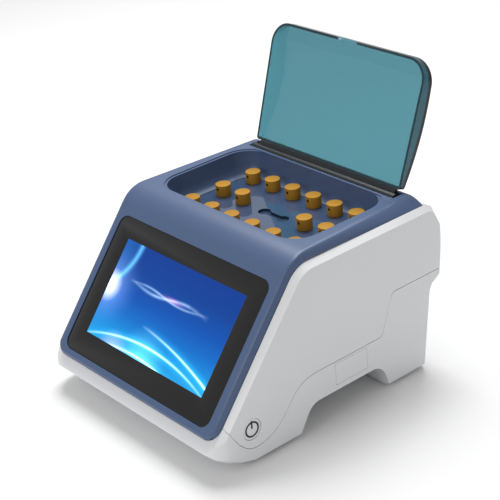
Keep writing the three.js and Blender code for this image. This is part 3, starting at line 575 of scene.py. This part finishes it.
class HEATER_OT_button(bpy.types.Operator):
    """Shape the power button with its plain ring and bar"""
    bl_idname = "heater.button"
    bl_label = "Power button"

    def execute(self, context):
        sizes = context.scene.heater_sizes
        low, high, middle = box_of("power_button")
        radius = (high.z - low.z) / 2
        across = (0, math.pi / 2, 0)
        thick = 4 * MM
        bpy.ops.mesh.primitive_cylinder_add(vertices=72, radius=radius, depth=thick, rotation=across,
                                            location=(high.x - thick / 2, middle.y, middle.z))
        cap = context.object
        apply_place(cap)
        select_faces(cap, Vector((-1, 0, 0)))
        stem_radius = 3 * MM
        bpy.ops.mesh.inset(thickness=radius - stem_radius)
        bpy.ops.mesh.extrude_region_move(
            TRANSFORM_OT_translate={"value": (low.x - (high.x - thick), 0, 0)})
        bpy.ops.object.mode_set(mode="OBJECT")
        apply_modifier(cap, "BEVEL", width=0.4 * MM, segments=3, limit_method="ANGLE",
                       angle_limit=math.radians(60))
        smooth(cap, 35)
        finish_piece(cap, "power_button_cap", MATERIALS["white"], "power_button")

        height = 0.25 * MM
        bpy.ops.mesh.primitive_cylinder_add(vertices=72, radius=sizes.mark_radius, depth=height,
                                            end_fill_type="NOTHING", rotation=across,
                                            location=(high.x, middle.y, middle.z))
        ring = context.object
        apply_place(ring)
        apply_modifier(ring, "SOLIDIFY", thickness=sizes.mark_line, offset=-1)
        bar_top = sizes.mark_radius + 0.6 * MM
        bar_low = 0.6 * MM
        bar_middle = middle.z + (bar_top + bar_low) / 2
        bpy.ops.mesh.primitive_cube_add(size=1, location=(high.x, middle.y, bar_middle))
        bar = context.object
        bar.scale = (height, sizes.mark_line, bar_top - bar_low)
        apply_place(bar)
        apply_modifier(ring, "BOOLEAN", operation="UNION", solver="EXACT", object=bar)
        bpy.data.objects.remove(bar, do_unlink=True)
        smooth(ring, 35)
        finish_piece(ring, "power_button_mark", MATERIALS["ink"], body="power_button", slot="black_plastic")
        return {"FINISHED"}


class HEATER_OT_fittings(bpy.types.Operator):
    """Hollow the mains inlet, stand its three contacts in it and add the rear panel's screws"""
    bl_idname = "heater.fittings"
    bl_label = "Rear fittings"

    def execute(self, context):
        low, high, middle = box_of("mains_inlet")
        depth = 14 * MM
        bottom = high.y - depth
        past = 20 * MM   # long enough to come out of the block's face
        bpy.ops.mesh.primitive_cube_add(size=1, location=middle)
        inlet = context.object
        inlet.scale = high - low
        bpy.ops.mesh.primitive_cube_add(size=1, location=(middle.x, bottom + past / 2, middle.z))
        hollow = context.object
        hollow.scale = (23.5 * MM, past, 16 * MM)
        cut(inlet, hollow)
        apply_modifier(inlet, "BEVEL", width=0.6 * MM, segments=3, limit_method="ANGLE",
                       angle_limit=math.radians(60))
        smooth(inlet, 35)
        finish_piece(inlet, "mains_inlet_socket", MATERIALS["black"], "mains_inlet")
        for index, (x, z) in enumerate(((-7, -1.5), (0, 2.5), (7, -1.5))):
            length = 12 * MM
            sunk = 1 * MM
            place = (middle.x + x * MM, bottom - sunk + length / 2, middle.z + z * MM)
            bpy.ops.mesh.primitive_cube_add(size=1, location=place)
            blade = context.object
            blade.scale = (2 * MM, length, 4 * MM)
            apply_place(blade)
            apply_modifier(blade, "BEVEL", width=0.5 * MM, segments=3)
            smooth(blade, 35)
            finish_piece(blade, f"inlet_contact_{index + 1}", MATERIALS["steel"], body="case",
                         slot="sheet_steel")

        low, high, middle = box_of("rear_panel")
        inwards = 4 * MM
        head = 1.1 * MM
        face = high.y + 0.8 * MM
        corners = [(x, z) for x in (low.x + inwards, high.x - inwards)
                   for z in (low.z + inwards, high.z - inwards)]
        for index, (x, z) in enumerate(corners):
            bpy.ops.mesh.primitive_cylinder_add(vertices=32, radius=2 * MM, depth=head,
                                                rotation=(math.pi / 2, 0, 0),
                                                location=(x, face - head / 2, z))
            screw = context.object
            apply_place(screw)
            apply_modifier(screw, "BEVEL", width=0.3 * MM, segments=3, limit_method="ANGLE",
                           angle_limit=math.radians(60))
            for turn in (0, math.pi / 2):
                bpy.ops.mesh.primitive_cube_add(size=1, location=(x, face, z), rotation=(0, turn, 0))
                slit = context.object
                slit.scale = (2.4 * MM, 0.9 * MM, 0.5 * MM)
                cut(screw, slit)
            smooth(screw, 35)
            finish_piece(screw, f"rear_screw_{index + 1}", MATERIALS["steel"], body="case",
                         slot="sheet_steel")
        return {"FINISHED"}


class HEATER_OT_stage(bpy.types.Operator):
    """Add the floor, the lights and the camera"""
    bl_idname = "heater.stage"
    bl_label = "Stage"

    def execute(self, context):
        sizes = context.scene.heater_sizes
        deselect()
        bpy.ops.mesh.primitive_plane_add(size=12, location=(0, 0, 0))
        floor = context.object
        floor.name = "floor"
        floor.data.materials.append(moulded("studio_paper", linear("#e6e6e6"), 0.9, 3.0, 0.01, 0.0))

        world = bpy.data.worlds.new("studio")
        context.scene.world = world
        world.use_nodes = True
        tree = world.node_tree
        tree.nodes.clear()
        path = add_node(tree, "ShaderNodeLightPath")
        seen = add_node(tree, "ShaderNodeMath", {"operation": "MAXIMUM"},
                        {0: path.outputs["Is Camera Ray"], 1: path.outputs["Is Transmission Ray"]})
        even = add_node(tree, "ShaderNodeBackground", {"Color": (1, 1, 1, 1), "Strength": sizes.fill})
        backdrop = add_node(tree, "ShaderNodeBackground", {"Color": (1, 1, 1, 1), "Strength": 1.0})
        mixed = add_node(tree, "ShaderNodeMixShader", None,
                         {0: seen.outputs[0], 1: even.outputs[0], 2: backdrop.outputs[0]})
        add_node(tree, "ShaderNodeOutputWorld", None, {"Surface": mixed.outputs[0]})

        for name, place, size, power in (
            ("overhead_light", (-0.45, 0.45, 1.5), sizes.key_size, sizes.key_power),
            ("front_light", (0.2, -1.9, 0.9), sizes.key_size, sizes.key_power * 0.4),
        ):
            bpy.ops.object.light_add(type="AREA", location=place)
            light = context.object
            light.name = name
            light.data.size = size
            light.data.energy = power
            light.rotation_mode = "QUATERNION"
            light.rotation_quaternion = (Vector((0, 0, 0.08)) - Vector(place)).to_track_quat("-Z", "Y")

        bpy.ops.object.camera_add()
        camera = context.object
        camera.name = "camera"
        context.scene.camera = camera
        azimuth, elevation, roll = math.radians(51.63), math.radians(26.55), math.radians(-5.21)
        back = Vector((math.sin(azimuth) * math.cos(elevation), -math.cos(azimuth) * math.cos(elevation),
                       math.sin(elevation)))
        right = (-back).cross(Vector((0, 0, 1))).normalized()
        up = right.cross(-back)
        turned_right = right * math.cos(roll) + up * math.sin(roll)
        turned_up = up * math.cos(roll) - right * math.sin(roll)
        camera.matrix_world = Matrix((turned_right, turned_up, back)).transposed().to_4x4()
        camera.location = Vector((0.84767, -0.66610, 0.65166))
        camera.data.sensor_width = 36
        camera.data.lens = 103.84
        context.scene.view_settings.view_transform = "Standard"
        return {"FINISHED"}


OPERATORS = (HEATER_OT_nodes, HEATER_OT_case, HEATER_OT_screen, HEATER_OT_lid, HEATER_OT_posts,
             HEATER_OT_button, HEATER_OT_fittings, HEATER_OT_stage)


class HEATER_PT_panel(bpy.types.Panel):
    """Lists the pieces and the sizes and colours they take"""
    bl_label = "Bench block heater"
    bl_space_type = "VIEW_3D"
    bl_region_type = "UI"
    bl_category = "Heater"

    def draw(self, context):
        for operator in OPERATORS:
            self.layout.operator(operator.bl_idname)
        for group in (context.scene.heater_look, context.scene.heater_sizes):
            for name in group.__annotations__:
                self.layout.prop(group, name)


CLASSES = (HeaterLook, HeaterSizes, *OPERATORS, HEATER_PT_panel)


def register():
    for item in CLASSES:
        bpy.utils.register_class(item)
    bpy.types.Scene.heater_look = bpy.props.PointerProperty(type=HeaterLook)
    bpy.types.Scene.heater_sizes = bpy.props.PointerProperty(type=HeaterSizes)


def unregister():
    del bpy.types.Scene.heater_sizes
    del bpy.types.Scene.heater_look
    for item in reversed(CLASSES):
        bpy.utils.unregister_class(item)


def main():
    register()
    build_materials(bpy.context.scene.heater_look, bpy.context.scene.heater_sizes)
    bpy.ops.heater.nodes()
    bpy.ops.heater.case()
    bpy.ops.heater.screen()
    bpy.ops.heater.lid()
    bpy.ops.heater.posts()
    bpy.ops.heater.button()
    bpy.ops.heater.fittings()
    bpy.ops.heater.stage()


if __name__ == "__main__":
    main()
